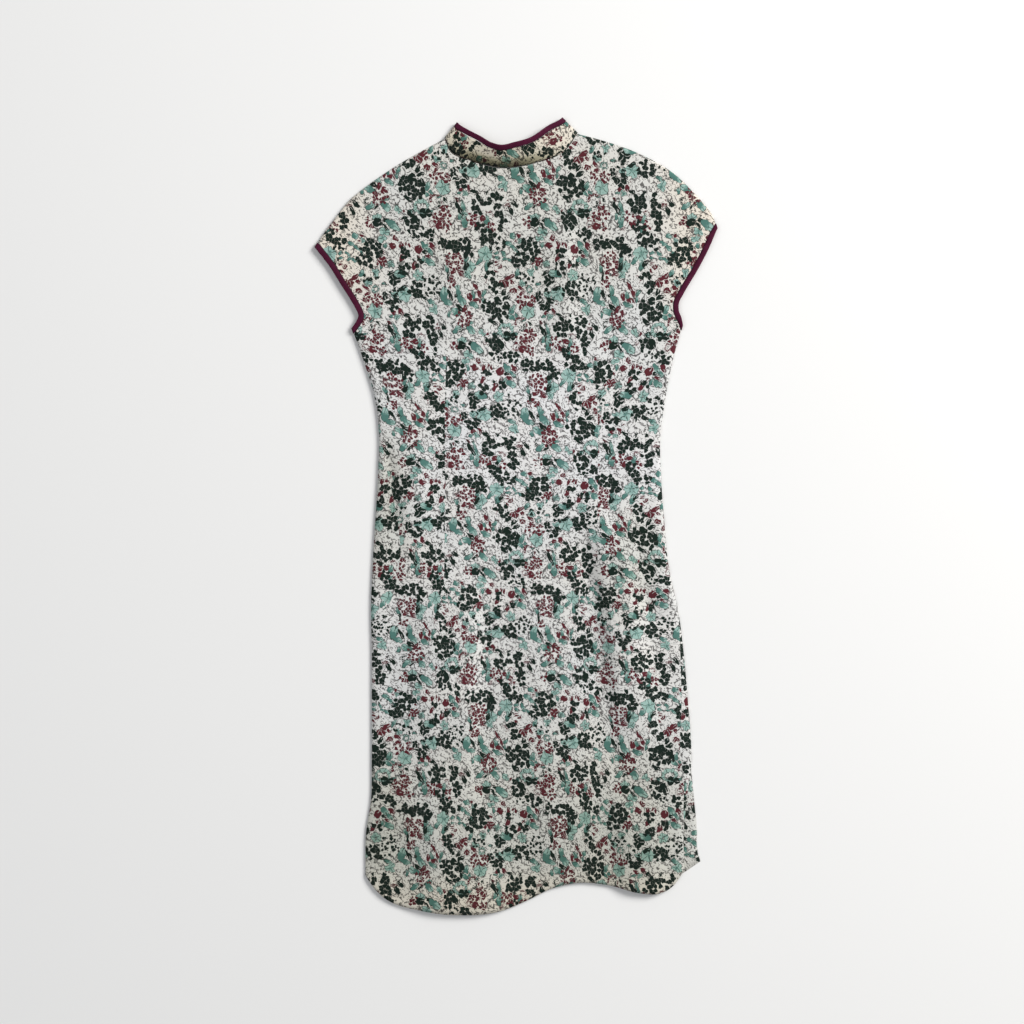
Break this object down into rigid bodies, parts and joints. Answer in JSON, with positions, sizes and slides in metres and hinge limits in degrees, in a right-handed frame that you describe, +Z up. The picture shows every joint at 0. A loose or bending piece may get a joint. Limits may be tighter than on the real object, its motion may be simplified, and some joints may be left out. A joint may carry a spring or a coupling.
{
  "type": "cheongsam dress",
  "caption": "Knee-length cheongsam in flower-printed cotton with mandarin collar, cap sleeves, bias-bound edges and side slits, laid flat face down.",
  "frame": {"origin": "middle of the dress's outline on the surface that it lies on", "axes": "+Y from hem to collar, +X to the wearer's right, +Z up, out of the back of the dress"},
  "size_m": [0.5115, 1.0106, 0.0203],
  "materials": {
    "printed_cotton": "matt plain-weave cotton, off-white with a small flower print in green, teal and wine red",
    "bias_binding": "matt wine-red cotton bias strip"
  },
  "bodies": {
    "root": {"back_panel": "printed_cotton", "front_panel": "printed_cotton", "front_underlap": "printed_cotton", "collar": "printed_cotton", "collar_binding": "bias_binding", "armhole_binding_left": "bias_binding", "armhole_binding_right": "bias_binding", "front_opening_binding": "bias_binding"}
  },
  "joints": []
}
